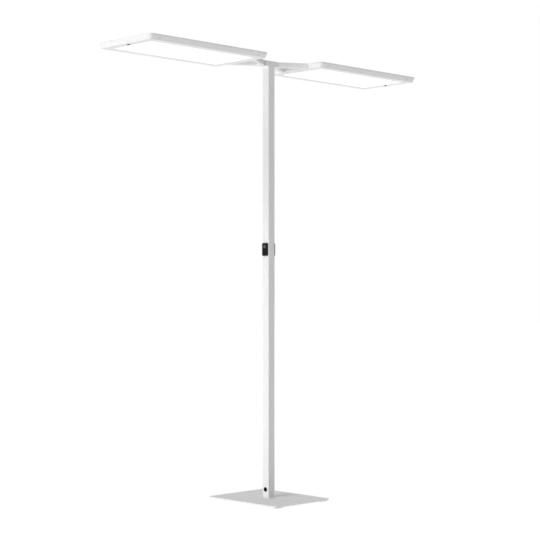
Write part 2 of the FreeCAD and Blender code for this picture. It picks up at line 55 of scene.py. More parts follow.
def addCamera():
    bpy.ops.object.select_all(action="DESELECT")
    bpy.ops.object.camera_add(location=cameraSettings["position"])
    camera = bpy.context.object
    camera.rotation_euler = (math.radians(90 + cameraSettings["tiltUp"]), 0,
                             -math.radians(cameraSettings["heading"]))
    camera.data.sensor_width = cameraSettings["sensorWidth"]
    camera.data.lens = cameraSettings["focalLength"]
    camera.data.clip_end = cameraSettings["clipEnd"]
    bpy.context.scene.camera = camera


# A long low box lights the lamp from the left. It is given by where it stands, what it faces,
# its size and its power in watts.
lowBox = {"from": (-14.0, 0, 0.75), "to": (0, 0, 0.75), "size": (12.0, 1.4), "power": 660}

# Soft suns, each with a strength and how many degrees it spreads over
softSuns = {
    "highLeft": {"from": (-10.0, 0, 9.0), "spread": 28, "strength": 0.88},
    "behind": {"from": (4.0, 2.5, 10.0), "spread": 60, "strength": 0.6},
}
studioRoom = {
    "roomLight": 0.3,
    "floorSize": 60.0,
    "floorRoughness": 0.9,
    "floorBounce": 0.8,       # how much light the floor sends back up
    "floorGlow": 0.31,        # and how much it adds, as a lit studio floor does
    "floorShade": 0.14,       # how much of the floor's own light and shadow a direct look shows
    "glowNear": 0.91,         # the rest is a white glow, fuller towards the distance
    "glowNearAt": 0.5,
    "glowFarAt": 3.0,
}


def addLamp(name, kind, start, target):
    bpy.ops.object.select_all(action="DESELECT")
    bpy.ops.object.light_add(type=kind, location=start)
    lamp = bpy.context.object
    lamp.name = name
    lamp.rotation_euler = (Vector(target) - Vector(start)).to_track_quat("-Z", "Y").to_euler()
    lamp.visible_camera = False
    return lamp.data


def addLamps():
    box = addLamp("lowBox", "AREA", lowBox["from"], lowBox["to"])
    box.shape = "RECTANGLE"
    box.size = lowBox["size"][0]
    box.size_y = lowBox["size"][1]
    box.energy = lowBox["power"]
    for name, settings in softSuns.items():
        sun = addLamp(name, "SUN", settings["from"], (0, 0, 0))
        sun.angle = math.radians(settings["spread"])
        sun.energy = settings["strength"]


# Sets inputs of a shader node by name
def setInputs(node, values):
    for name, value in values.items():
        node.inputs[name].default_value = value


# Whether a ray is of one of two kinds, as 0 or 1
def isRay(nodes, links, oneKind, otherKind):
    path = nodes.new("ShaderNodeLightPath")
    either = nodes.new("ShaderNodeMath")
    either.operation = "MAXIMUM"
    links.new(path.outputs[oneKind], either.inputs[0])
    links.new(path.outputs[otherKind], either.inputs[1])
    return either.outputs[0]


def addWorld():
    world = bpy.data.worlds.new("studioWorld")
    bpy.context.scene.world = world
    world.use_nodes = True
    nodes = world.node_tree.nodes
    links = world.node_tree.links
    strength = nodes.new("ShaderNodeMapRange")
    setInputs(strength, {"To Min": studioRoom["roomLight"], "To Max": 1})
    links.new(isRay(nodes, links, "Is Camera Ray", "Is Transmission Ray"), strength.inputs["Value"])
    setInputs(nodes["Background"], {"Color": (1, 1, 1, 1)})
    links.new(strength.outputs["Result"], nodes["Background"].inputs["Strength"])


# The floor bounces light as a plain pale floor. Looked at directly it is nearly white, with
# the lamp's soft shadow still on it.
def addFloor():
    bpy.ops.object.select_all(action="DESELECT")
    bpy.ops.mesh.primitive_plane_add(size=studioRoom["floorSize"])
    floor = bpy.context.object
    floor.name = "studioFloor"
    material = bpy.data.materials.new("studioFloor")
    material.use_nodes = True
    nodes = material.node_tree.nodes
    links = material.node_tree.links
    seen = nodes["Principled BSDF"]
    shade = studioRoom["floorShade"]
    setInputs(seen, {"Base Color": (shade, shade, shade, 1), "Roughness": studioRoom["floorRoughness"],
                     "Specular IOR Level": 0, "Emission Color": (1, 1, 1, 1)})
    place = nodes.new("ShaderNodeTexCoord")
    distance = nodes.new("ShaderNodeVectorMath")
    distance.operation = "LENGTH"
    links.new(place.outputs["Object"], distance.inputs[0])
    glow = nodes.new("ShaderNodeMapRange")
    setInputs(glow, {"From Min": studioRoom["glowNearAt"], "From Max": studioRoom["glowFarAt"],
                     "To Min": studioRoom["glowNear"], "To Max": 1})
    links.new(distance.outputs["Value"], glow.inputs["Value"])
    links.new(glow.outputs["Result"], seen.inputs["Emission Strength"])
    bounce = nodes.new("ShaderNodeBsdfDiffuse")
    pale = studioRoom["floorBounce"]
    setInputs(bounce, {"Color": (pale, pale, pale, 1)})
    litFloor = nodes.new("ShaderNodeEmission")
    setInputs(litFloor, {"Strength": studioRoom["floorGlow"]})
    both = nodes.new("ShaderNodeAddShader")
    links.new(bounce.outputs["BSDF"], both.inputs[0])
    links.new(litFloor.outputs["Emission"], both.inputs[1])
    mix = nodes.new("ShaderNodeMixShader")
    links.new(isRay(nodes, links, "Is Camera Ray", "Is Glossy Ray"), mix.inputs["Fac"])
    links.new(both.outputs["Shader"], mix.inputs[1])
    links.new(seen.outputs["BSDF"], mix.inputs[2])
    links.new(mix.outputs["Shader"], nodes["Material Output"].inputs["Surface"])
    floor.data.materials.append(material)


addCamera()
addLamps()
addWorld()
addFloor()
bpy.context.scene.view_settings.view_transform = "Standard"
print("camera, lamps and floor are in place")


# Finishes

# A finish starts from its colour, roughness, metal and gloss. Textures are laid on by place,
# in metres.
def startFinish(name, colour, roughness, metallic=0.0, specular=0.5):
    material = bpy.data.materials.new(name)
    material.use_nodes = True
    nodes = material.node_tree.nodes
    setInputs(nodes["Principled BSDF"], {"Base Color": (*colour, 1), "Roughness": roughness,
                                         "Metallic": metallic, "Specular IOR Level": specular})
    place = nodes.new("ShaderNodeTexCoord")
    place.name = "place"
    return material


# A noise of so many cells to the metre. A stretch other than one draws it out along that axis.
def addGrain(material, cells, detail=2.0, stretch=(1, 1, 1)):
    nodes = material.node_tree.nodes
    links = material.node_tree.links
    mapping = nodes.new("ShaderNodeMapping")
    setInputs(mapping, {"Scale": stretch})
    links.new(nodes["place"].outputs["Object"], mapping.inputs["Vector"])
    grain = nodes.new("ShaderNodeTexNoise")
    setInputs(grain, {"Scale": cells, "Detail": detail})
    links.new(mapping.outputs["Vector"], grain.inputs["Vector"])
    return grain.outputs["Fac"]


# A noise stays mostly between these two values, which are spread to the wanted range
noiseRange = (0.3, 0.7)


def varyRoughness(material, source, low, high):
    nodes = material.node_tree.nodes
    spread = nodes.new("ShaderNodeMapRange")
    setInputs(spread, {"From Min": noiseRange[0], "From Max": noiseRange[1],
                       "To Min": low, "To Max": high})
    material.node_tree.links.new(source, spread.inputs["Value"])
    material.node_tree.links.new(spread.outputs["Result"],
                                 nodes["Principled BSDF"].inputs["Roughness"])


def tint(material, source, dark, light):
    nodes = material.node_tree.nodes
    ramp = nodes.new("ShaderNodeValToRGB")
    for element, position, colour in zip(ramp.color_ramp.elements, noiseRange, (dark, light)):
        element.position = position
        element.color = (*colour, 1)
    material.node_tree.links.new(source, ramp.inputs["Fac"])
    material.node_tree.links.new(ramp.outputs["Color"],
                                 nodes["Principled BSDF"].inputs["Base Color"])


# Bumps are chained, so that a coarse ripple and a fine grain can lie on each other
def addBump(material, source, height, strength=1.0):
    nodes = material.node_tree.nodes
    links = material.node_tree.links
    normal = nodes["Principled BSDF"].inputs["Normal"]
    bump = nodes.new("ShaderNodeBump")
    setInputs(bump, {"Distance": height, "Strength": strength})
    links.new(source, bump.inputs["Height"])
    if normal.is_linked:
        links.new(normal.links[0].from_socket, bump.inputs["Normal"])
    links.new(bump.outputs["Normal"], normal)


# Round cells in rows, as moulded prisms, facets and etched dots have. It gives the distance from
# each cell's middle.
def addCells(material, cells, randomness):
    nodes = material.node_tree.nodes
    pattern = nodes.new("ShaderNodeTexVoronoi")
    setInputs(pattern, {"Scale": cells, "Randomness": randomness})
    material.node_tree.links.new(nodes["place"].outputs["Object"], pattern.inputs["Vector"])
    return pattern.outputs["Distance"]


def grey(shade):
    return (shade, shade, shade)


# White powder coat: a fine orange-peel ripple, with a little uneven gloss
powderCoat = {"dark": grey(0.825), "light": grey(0.85), "rippleCells": 900, "rippleHeight": 0.00003,
              "speckCells": 4200, "speckHeight": 0.00001}


def makePowderCoat(name):
    coat = startFinish(name, powderCoat["light"], roughness=0.45)
    tint(coat, addGrain(coat, cells=7, detail=3), powderCoat["dark"], powderCoat["light"])
    varyRoughness(coat, addGrain(coat, cells=60, detail=3), low=0.4, high=0.5)
    ripple = addGrain(coat, powderCoat["rippleCells"], detail=1)
    addBump(coat, ripple, powderCoat["rippleHeight"], strength=0.6)
    specks = addGrain(coat, powderCoat["speckCells"])
    addBump(coat, specks, powderCoat["speckHeight"], strength=0.5)
    return coat


# Moulded plastic and matt coatings, with a fine spark-eroded texture
def makeMoulded(name, dark, light, roughness, specular, textureHeight=0.00001):
    moulded = startFinish(name, light, roughness, specular=specular)
    tint(moulded, addGrain(moulded, cells=45, detail=3), dark, light)
    varyRoughness(moulded, addGrain(moulded, cells=1500), roughness - 0.06, roughness + 0.06)
    addBump(moulded, addGrain(moulded, cells=3200), textureHeight, strength=0.8)
    return moulded


# The panel's lower face glows evenly, a touch less between the faint prisms moulded in its back.
# The prisms are so many to the metre. A face turned down by more than "dimTo" has the full glow.
panelGlow = {"atPrisms": 0.36, "between": 0.32, "prisms": 420, "prismEdge": 0.7,
             "dimFrom": -0.4, "dimTo": -0.6}


def makeOpal(name):
    opal = startFinish(name, grey(0.93), roughness=0.42)
    nodes = opal.node_tree.nodes
    links = opal.node_tree.links
    glow = nodes.new("ShaderNodeMapRange")
    setInputs(glow, {"From Max": panelGlow["prismEdge"], "To Min": panelGlow["atPrisms"],
                     "To Max": panelGlow["between"]})
    links.new(addCells(opal, panelGlow["prisms"], randomness=0.15), glow.inputs["Value"])
    facing = nodes.new("ShaderNodeSeparateXYZ")
    links.new(nodes["place"].outputs["Normal"], facing.inputs["Vector"])
    outward = nodes.new("ShaderNodeMapRange")
    setInputs(outward, {"From Min": panelGlow["dimFrom"], "From Max": panelGlow["dimTo"]})
    links.new(facing.outputs["Z"], outward.inputs["Value"])
    outerGlow = nodes.new("ShaderNodeMath")
    outerGlow.operation = "MULTIPLY"
    links.new(glow.outputs["Result"], outerGlow.inputs[0])
    links.new(outward.outputs["Result"], outerGlow.inputs[1])
    shader = nodes["Principled BSDF"]
    setInputs(shader, {"Emission Color": (1, 1, 1, 1)})
    links.new(outerGlow.outputs[0], shader.inputs["Emission Strength"])
    varyRoughness(opal, addGrain(opal, cells=240), low=0.38, high=0.46)
    addBump(opal, addGrain(opal, cells=1800), height=0.00001, strength=0.5)
    return opal


# Zinc-plated steel: bright, with fine turning marks and cloudy patches
def makeZinc(name):
    zinc = startFinish(name, (0.62, 0.62, 0.63), roughness=0.35, metallic=1)
    tint(zinc, addGrain(zinc, cells=320, detail=3), dark=(0.52, 0.52, 0.54), light=(0.68, 0.68, 0.69))
    varyRoughness(zinc, addGrain(zinc, cells=1100, detail=3), low=0.24, high=0.42)
    addBump(zinc, addGrain(zinc, cells=2600, stretch=(1, 1, 6)), height=0.00001, strength=0.5)
    return zinc


def makeMachinedAluminium(name):
    machined = startFinish(name, (0.74, 0.74, 0.75), roughness=0.35, metallic=1)
    tint(machined, addGrain(machined, cells=30, detail=4), dark=(0.68, 0.68, 0.69), light=(0.77, 0.77, 0.78))
    varyRoughness(machined, addGrain(machined, cells=420, stretch=(1, 1, 0.05)), low=0.28, high=0.42)
    addBump(machined, addGrain(machined, cells=1700, stretch=(1, 1, 0.04)), height=0.00001, strength=0.6)
    return machined


def makeBrass(name):
    brass = startFinish(name, (0.76, 0.6, 0.32), roughness=0.3, metallic=1)
    tint(brass, addGrain(brass, cells=700), dark=(0.7, 0.54, 0.27), light=(0.8, 0.65, 0.37))
    varyRoughness(brass, addGrain(brass, cells=1600), low=0.2, high=0.36)
    return brass


def makeRubber(name):
    rubber = startFinish(name, grey(0.8), roughness=0.8, specular=0.25)
    tint(rubber, addGrain(rubber, cells=240, detail=4), dark=grey(0.77), light=grey(0.83))
    varyRoughness(rubber, addGrain(rubber, cells=600), low=0.72, high=0.88)
    addBump(rubber, addGrain(rubber, cells=2400, detail=3), height=0.00003, strength=0.7)
    return rubber


# Dark lens for the presence sensor: small facets under a smooth glossy skin
def makeSensorLens(name):
    lens = startFinish(name, (0.008, 0.008, 0.009), roughness=0.3, specular=0.12)
    facets = addCells(lens, cells=620, randomness=0.1)
    tint(lens, facets, dark=(0.005, 0.005, 0.006), light=(0.012, 0.012, 0.014))
    addBump(lens, facets, height=0.00008, strength=0.6)
    return lens


# Circuit board: solder resist, darker on every other field, over a mesh of tracks
def makeCircuitBoard(name, resist, track, darker=0.9):
    board = startFinish(name, resist, roughness=0.35)
    nodes = board.node_tree.nodes
    tracks = nodes.new("ShaderNodeTexBrick")
    setInputs(tracks, {"Scale": 160, "Mortar Size": 0.06, "Color1": (*resist, 1),
                       "Color2": (*[shade * darker for shade in resist], 1), "Mortar": (*track, 1)})
    turn = nodes.new("ShaderNodeMapping")
    setInputs(turn, {"Rotation": (math.radians(90), 0, math.radians(90))})
    links = board.node_tree.links
    links.new(nodes["place"].outputs["Object"], turn.inputs["Vector"])
    links.new(turn.outputs["Vector"], tracks.inputs["Vector"])
    links.new(tracks.outputs["Color"], nodes["Principled BSDF"].inputs["Base Color"])
    addBump(board, tracks.outputs["Fac"], height=0.00003, strength=0.5)
    return board


# Clear guide with fine rows of etched dots on its back
def makeClearGuide(name):
    guide = startFinish(name, (0.93, 0.96, 0.97), roughness=0.08)
    setInputs(guide.node_tree.nodes["Principled BSDF"], {"Transmission Weight": 0.85, "IOR": 1.49})
    varyRoughness(guide, addCells(guide, cells=330, randomness=0), low=0.4, high=0.06)
    return guide


mouldedFinishes = {
    "white_steel": {"name": "mattWhiteCoat", "dark": grey(0.84), "light": grey(0.86),
                    "roughness": 0.85, "specular": 0.12, "textureHeight": 0.00002},
    "white_plastic": {"name": "whiteCapPlastic", "dark": grey(0.83), "light": grey(0.85),
                      "roughness": 0.45, "specular": 0.5},
    "black_plastic": {"name": "blackTexturedPlastic", "dark": (0.006, 0.006, 0.0065),
                      "light": (0.01, 0.01, 0.0105), "roughness": 0.55, "specular": 0.12,
                      "textureHeight": 0.00002},
    "button_grey": {"name": "greyButtonPlastic", "dark": (0.085, 0.085, 0.088),
                    "light": (0.105, 0.105, 0.109), "roughness": 0.42, "specular": 0.3},
    "bush_plastic": {"name": "creamBushPlastic", "dark": (0.76, 0.74, 0.68),
                     "light": (0.84, 0.82, 0.76), "roughness": 0.4, "specular": 0.45},
    "reflector_white": {"name": "whiteReflectorFilm", "dark": grey(0.93), "light": grey(0.96),
                        "roughness": 0.5, "specular": 0.4},
    "driver_case": {"name": "whiteDriverCase", "dark": grey(0.76), "light": grey(0.83),
                    "roughness": 0.5, "specular": 0.4, "textureHeight": 0.00002},
    "sensor_grey": {"name": "greyWindowPlastic", "dark": (0.5, 0.5, 0.51),
                    "light": (0.58, 0.58, 0.59), "roughness": 0.3, "specular": 0.5},
}
finishes = {slot: makeMoulded(**values) for slot, values in mouldedFinishes.items()}
finishes.update({
    "white_aluminium": makePowderCoat("whiteCoatOnAluminium"),
    "white_screw": makePowderCoat("whiteCoatOnScrews"),
    "bare_aluminium": makeMachinedAluminium("machinedAluminium"),
    "screw_steel": makeZinc("zincPlatedSteel"),
    "foot_rubber": makeRubber("paleFootRubber"),
    "contact_brass": makeBrass("platedBrass"),
    "green_board": makeCircuitBoard("greenCircuitBoard", resist=(0.03, 0.2, 0.07), track=(0.1, 0.36, 0.16)),
    "opal_diffuser": makeOpal("opalPanel"),
    "clear_guide": makeClearGuide("clearLightGuide"),
    "led_board": makeCircuitBoard("whiteLedBoard", resist=(0.86, 0.86, 0.8), track=(0.75, 0.66, 0.3)),
    "sensor_black": makeSensorLens("darkSensorLens"),
})
for part in frame["record"]["subparts"]:
    node = frame["nodes"][part["node"]]
    node.data.materials.clear()
    node.data.materials.append(finishes[part["material_slot"]])
print("finishes made:", len(finishes))


# Tools for modelling

cutPast = 0.01         # how far a tool that cuts an open hole reaches past the piece
overlap = 0.001        # how far two bodies that are joined lie in each other
nearby = 0.0001        # a hair's breadth past an edge or a face
sameFlat = 0.00001     # corners this close to a plane lie on it
flatAngle = 38         # degrees, over which an edge keeps its crease in the shading
alongAxis = 0.999      # the share of an edge's length that has to run along an axis


# Puts a piece's place, turn and scale into its mesh
def applyPlace():
    bpy.ops.object.transform_apply(location=True, rotation=True, scale=True)


def addBlock(name, low, high):
    bpy.ops.object.select_all(action="DESELECT")
    middle = [(a + b) / 2 for a, b in zip(low, high)]
    bpy.ops.mesh.primitive_cube_add(size=1, location=middle)
    block = bpy.context.object
    block.name = name
    block.scale = [b - a for a, b in zip(low, high)]
    applyPlace()
    return block


# A round bar between two points. With an end radius it is a cone, and six sides make a hexagon.
def addRod(name, radius, start, end, sides=64, endRadius=None):
    bpy.ops.object.select_all(action="DESELECT")
    along = Vector(end) - Vector(start)
    bpy.ops.mesh.primitive_cone_add(
        vertices=sides, radius1=radius, radius2=radius if endRadius is None else endRadius,
        depth=along.length, location=(Vector(start) + Vector(end)) / 2,
        rotation=along.to_track_quat("Z", "Y").to_euler())
    rod = bpy.context.object
    rod.name = name
    applyPlace()
    return rod


def addUpright(name, radius, x, y, low, high, sides=64):
    return addRod(name, radius, (x, y, low), (x, y, high), sides)


def makeActive(piece):
    bpy.ops.object.select_all(action="DESELECT")
    piece.select_set(True)
    bpy.context.view_layer.objects.active = piece


# Opens a piece in edit mode with only the wanted vertices, edges or faces selected
def editSelected(piece, kind, wanted):
    makeActive(piece)
    bpy.ops.object.mode_set(mode="EDIT")
    bpy.ops.mesh.select_mode(type=kind)
    bpy.ops.mesh.select_all(action="DESELECT")
    mesh = bmesh.from_edit_mesh(piece.data)
    for element in {"VERT": mesh.verts, "EDGE": mesh.edges, "FACE": mesh.faces}[kind]:
        if wanted(element):
            element.select_set(True)
    bmesh.update_edit_mesh(piece.data)


def closeEdit():
    bpy.ops.object.mode_set(mode="OBJECT")


def runsAlong(edge, axis):
    way = edge.verts[1].co - edge.verts[0].co
    return abs(way[axis]) > alongAxis * way.length


def liesAt(element, axis, place):
    return all(abs(vertex.co[axis] - place) < sameFlat for vertex in element.verts)


def roundEdges(piece, wanted, radius, steps):
    editSelected(piece, "EDGE", wanted)
    bpy.ops.mesh.bevel(offset=radius, segments=steps, affect="EDGES", clamp_overlap=False)
    closeEdit()


def useModifier(piece, modifier):
    makeActive(piece)
    bpy.ops.object.modifier_apply(modifier=modifier.name)


def combine(piece, tool, operation="DIFFERENCE"):
    modifier = piece.modifiers.new("combine", "BOOLEAN")
    modifier.operation = operation
    modifier.solver = "EXACT"
    modifier.object = tool
    useModifier(piece, modifier)
    bpy.data.objects.remove(tool)


# Breaks every sharp edge by a small radius and evens the shading of the flats
def softenEdges(piece, radius, steps=2, sharperThan=32):
    bevel = piece.modifiers.new("softEdges", "BEVEL")
    bevel.width = radius
    bevel.segments = steps
    bevel.limit_method = "ANGLE"
    bevel.angle_limit = math.radians(sharperThan)
    bevel.use_clamp_overlap = False
    useModifier(piece, bevel)
    shadeFlats(piece)


# Closes the hair cracks that a union can leave between nearly touching corners
def closeCracks(piece, width=0.000002):
    editSelected(piece, "VERT", lambda vertex: True)
    bpy.ops.mesh.remove_doubles(threshold=width)
    closeEdit()


def shadeFlats(piece):
    makeActive(piece)
    bpy.ops.object.shade_smooth_by_angle(angle=math.radians(flatAngle))
    weighted = piece.modifiers.new("evenShading", "WEIGHTED_NORMAL")
    weighted.keep_sharp = True
    useModifier(piece, weighted)


def copyOf(piece):
    makeActive(piece)
    bpy.ops.object.duplicate()
    return bpy.context.object


def joinAll(pieces):
    makeActive(pieces[0])
    for piece in pieces[1:]:
        piece.select_set(True)
    bpy.ops.object.join()
    applyPlace()
    return pieces[0]


# Copies a piece by each offset and joins the copies with it
def repeatAt(piece, offsets):
    copies = [piece]
    for offset in offsets:
        copies.append(copyOf(piece))
        bpy.ops.transform.translate(value=offset)
    joinAll(copies)


# A copy turned half a turn about the column
def turnedCopy(piece, name):
    twin = copyOf(piece)
    twin.name = name
    bpy.ops.transform.rotate(value=math.pi, orient_axis="Z", center_override=(0, 0, 0))
    applyPlace()
    return twin


# Gives a piece its finish and its body, in place of the CAD node it stands for
def dress(piece, slot, body, node):
    piece.data.materials.clear()
    piece.data.materials.append(finishes[slot])
    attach(piece, body)
    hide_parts(node)


# Dresses a right-hand piece and its left-hand twin
def dressPair(piece, name, slot, body, node):
    twin = turnedCopy(piece, "left" + name)
    piece.name = "right" + name
    for side, one in (("right", piece), ("left", twin)):
        rider = body if body == "stand" else side + "_" + body
        dress(one, slot, rider, side + "_" + node)


# A screw with its head's face at a point, pointing along a direction. The head grows out of the
# shank's end, and a hexagon is sunk in it.
def addScrew(name, face, along, sizes, softEdge=0.00015):
    face = Vector(face)
    along = Vector(along)
    neck = face + along * sizes["headDepth"]
    screw = addRod(name, sizes["shankRadius"], neck, face + along * sizes["length"], 32)
    axis = max(range(3), key=lambda index: abs(along[index]))
    editSelected(screw, "FACE", lambda shape: liesAt(shape, axis, neck[axis]))
    if sizes["neckRadius"] > sizes["shankRadius"]:
        bpy.ops.mesh.extrude_region_move()
        bpy.ops.transform.resize(value=[sizes["neckRadius"] / sizes["shankRadius"]] * 3)
    bpy.ops.mesh.extrude_region_move(TRANSFORM_OT_translate={"value": -along * sizes["headDepth"]})
    bpy.ops.transform.resize(value=[sizes["headRadius"] / sizes["neckRadius"]] * 3)
    closeEdit()
    combine(screw, addRod("socket", sizes["socketRadius"], face - along * overlap,
                          face + along * sizes["socketDepth"], 6))
    softenEdges(screw, softEdge)
    return screw


# A block with some of its upright edges rounded to nearly its own half width, as a hinge knuckle
def addNose(name, low, high, rounded, radius):
    nose = addBlock(name, low, high)
    roundEdges(nose, lambda edge: runsAlong(edge, 2) and rounded(edge.verts[0].co), radius, 14)
    return nose


# Insets the selected round face in steps that follow an arc: a dome, or a dish if the rise is
# below zero
def insetArc(radius, rise, steps):
    depth = abs(rise)
    ballRadius = (radius ** 2 + depth ** 2) / (2 * depth)
    fullAngle = math.asin(radius / ballRadius)
    reached = fullAngle
    for step in range(steps - 1, 0, -1):
        angle = fullAngle * step / steps
        stepDepth = ballRadius * (math.cos(angle) - math.cos(reached))
        bpy.ops.mesh.inset(thickness=ballRadius * (math.sin(reached) - math.sin(angle)),
                           depth=math.copysign(stepDepth, rise))
        reached = angle


# Heads: one form for the outside, a smaller one for the hollow

headSizes = {
    "innerEnd": 0.162, "outerEnd": 0.8235, "halfWidth": 0.1675,
    "top": 1.9485, "bottom": 1.925, "lip": 0.005, "sideInset": 0.008,
    "cornerRadius": 0.021,
    "topSkin": 0.002, "rimThickness": 0.0025, "wall": 0.0025,
    "panelStart": 0.2085, "panelEnd": 0.777, "panelHalfWidth": 0.121, "panelCorner": 0.004,
    "panelGap": 0.0003, "panelFlange": 0.005, "flangeThickness": 0.0015,
    "innerSeam": 0.218, "outerSeam": 0.7675, "seamGap": 0.0014,
    "softEdge": 0.0004, "softenOver": 20,
    "screwFromSeam": 0.007, "screwAcross": 0.1,
    "tongueReach": 0.014, "tongueHalfWidth": 0.008, "tongueHeight": 0.006, "tongueGap": 0.0001,
    "sensorX": 0.796, "sensorRadius": 0.007, "sensorGap": 0.0001,
    "windowRadius": 0.002, "windowAcross": 0.02, "windowEdge": 0.0003,
}
headBottom = headSizes["bottom"]
headTop = headSizes["top"]
panelSeat = headBottom + headSizes["rimThickness"]
capScrew = {"headRadius": 0.0028, "headDepth": 0.0016, "neckRadius": 0.0015, "shankRadius": 0.0015,
            "length": 0.007, "socketRadius": 0.0011, "socketDepth": 0.0011,
            "holeRadius": 0.0016, "seatRadius": 0.0029, "seatDepth": 0.0018}


# Across both seams and both sides, on the profile's side of each seam
def capScrewPlaces():
    return [(seam + inward * headSizes["screwFromSeam"], side * headSizes["screwAcross"])
            for seam, inward in ((headSizes["innerSeam"], 1), (headSizes["outerSeam"], -1))
            for side in (-1, 1)]


def addHeadForm(name, inset, bottom, top):
    lipBottom = headTop - headSizes["lip"]
    halfWidth = headSizes["halfWidth"] - inset
    form = addBlock(name, (headSizes["innerEnd"] + inset, -halfWidth, lipBottom),
                    (headSizes["outerEnd"] - inset, halfWidth, top))
    roundEdges(form, lambda edge: runsAlong(edge, 2), headSizes["cornerRadius"] - inset, 12)
    slope = (lipBottom - bottom) / (lipBottom - headBottom)
    editSelected(form, "FACE", lambda face: liesAt(face, 2, lipBottom))
    bpy.ops.mesh.inset(thickness=headSizes["sideInset"] * slope)
    bpy.ops.transform.translate(value=(0, 0, bottom - lipBottom))
    closeEdit()
    return form


def addPanelBlock(name, gap, bottom, top):
    halfWidth = headSizes["panelHalfWidth"] - gap
    block = addBlock(name, (headSizes["panelStart"] + gap, -halfWidth, bottom),
                     (headSizes["panelEnd"] - gap, halfWidth, top))
    roundEdges(block, lambda edge: runsAlong(edge, 2), headSizes["panelCorner"], 5)
    return block


def addHeadShell():
    shell = addHeadForm("headShell", 0, headBottom, headTop)
    combine(shell, addHeadForm("hollow", headSizes["wall"], panelSeat, headTop - headSizes["topSkin"]))
    below = headBottom - cutPast
    inside = panelSeat + overlap
    combine(shell, addPanelBlock("opening", 0, below, inside))
    for x, y in capScrewPlaces():
        combine(shell, addUpright("screwSeat", capScrew["seatRadius"], x, y, headTop - capScrew["seatDepth"],
                                  headTop + cutPast, 40))
    x = headSizes["sensorX"]
    gap = headSizes["sensorGap"]
    combine(shell, addUpright("lensHole", headSizes["sensorRadius"] + gap, x, 0, below, inside))
    for y in (-headSizes["windowAcross"], headSizes["windowAcross"]):
        combine(shell, addUpright("windowHole", headSizes["windowRadius"] + gap, x, y, below, inside, 32))
    return shell


# Cuts the shell at its two seams, with a fine groove at each
def addHeadPieces():
    half = headSizes["seamGap"] / 2
    spans = (("InnerCap", "white_aluminium", "inner_end_cap", headSizes["innerEnd"] - cutPast,
              headSizes["innerSeam"] - half),
             ("Profile", "white_aluminium", "head_profile", headSizes["innerSeam"] + half,
              headSizes["outerSeam"] - half),
             ("OuterCap", "white_plastic", "outer_end_cap", headSizes["outerSeam"] + half,
              headSizes["outerEnd"] + cutPast))
    shell = addHeadShell()
    reach = 2 * headSizes["halfWidth"]
    for name, slot, node, start, end in spans:
        piece = copyOf(shell)
        combine(piece, addBlock("span", (start, -reach, headBottom - reach), (end, reach, headTop + reach)),
                "INTERSECT")
        softenEdges(piece, headSizes["softEdge"], sharperThan=headSizes["softenOver"])
        if node == "inner_end_cap":
            for place in wingScrewPlaces():
                combine(piece, addRod("screwHole", wingScrew["holeRadius"], place,
                                      place + Vector((wingScrew["holeReach"], 0, 0)), 24))
            addTongues(piece, headSizes["innerSeam"])
        if node == "outer_end_cap":
            addTongues(piece, headSizes["outerSeam"])
        dressPair(piece, "Head" + name, slot, "head", node)
    bpy.data.objects.remove(shell)


# Two tongues under the profile's top, which the cap screws hold
def addTongues(cap, seam):
    reach = headSizes["tongueReach"]
    topZ = headTop - headSizes["topSkin"] - headSizes["tongueGap"]
    for side in (-1, 1):
        y = side * headSizes["screwAcross"]
        half = headSizes["tongueHalfWidth"]
        tongue = addBlock("tongue", (seam - reach, y - half, topZ - headSizes["tongueHeight"]),
                          (seam + reach, y + half, topZ))
        for x in (seam - headSizes["screwFromSeam"], seam + headSizes["screwFromSeam"]):
            combine(tongue, addUpright("screwHole", capScrew["holeRadius"], x, y, topZ - 2 * cutPast,
                                       topZ + cutPast, 24))
        softenEdges(tongue, headSizes["softEdge"])
        joinAll([cap, tongue])


def addDiffuser():
    panel = addPanelBlock("panel", headSizes["panelGap"], headBottom, panelSeat)
    reach = headSizes["panelFlange"] + headSizes["panelGap"]
    length = headSizes["panelEnd"] - headSizes["panelStart"] - 2 * headSizes["panelGap"]
    width = 2 * (headSizes["panelHalfWidth"] - headSizes["panelGap"])
    editSelected(panel, "FACE", lambda face: liesAt(face, 2, panelSeat))
    bpy.ops.mesh.extrude_region_move()
    bpy.ops.transform.resize(value=((length + 2 * reach) / length, (width + 2 * reach) / width, 1))
    bpy.ops.mesh.extrude_region_move(TRANSFORM_OT_translate={"value": (0, 0, headSizes["flangeThickness"])})
    closeEdit()
    softenEdges(panel, headSizes["softEdge"])
    dressPair(panel, "DiffuserPanel", "opal_diffuser", "head", "diffuser_panel")


def addCapScrews():
    screws = [addScrew("capScrew", (x, y, headTop), (0, 0, -1), capScrew)
              for x, y in capScrewPlaces()]
    dressPair(joinAll(screws), "EndCapScrews", "screw_steel", "head", "end_cap_screws")


# Sensor: a low dome shaped by insets that follow its arc, and two small flat windows

sensorSizes = {"drop": 0.0032, "flangeRadius": 0.0085, "flangeTop": 0.0035, "domeSteps": 9,
               "flangeOverlap": 0.0005}


def addSensorLens():
    x = headSizes["sensorX"]
    radius = headSizes["sensorRadius"]
    lens = addUpright("sensorLens", radius, x, 0, headBottom, panelSeat + sensorSizes["flangeOverlap"])
    editSelected(lens, "FACE", lambda face: liesAt(face, 2, headBottom))
    insetArc(radius, sensorSizes["drop"], sensorSizes["domeSteps"])
    closeEdit()
    flange = addUpright("lensFlange", sensorSizes["flangeRadius"], x, 0, panelSeat,
                        headBottom + sensorSizes["flangeTop"])
    combine(lens, flange, "UNION")
    shadeFlats(lens)
    dressPair(lens, "SensorLens", "sensor_black", "head", "sensor_lens")


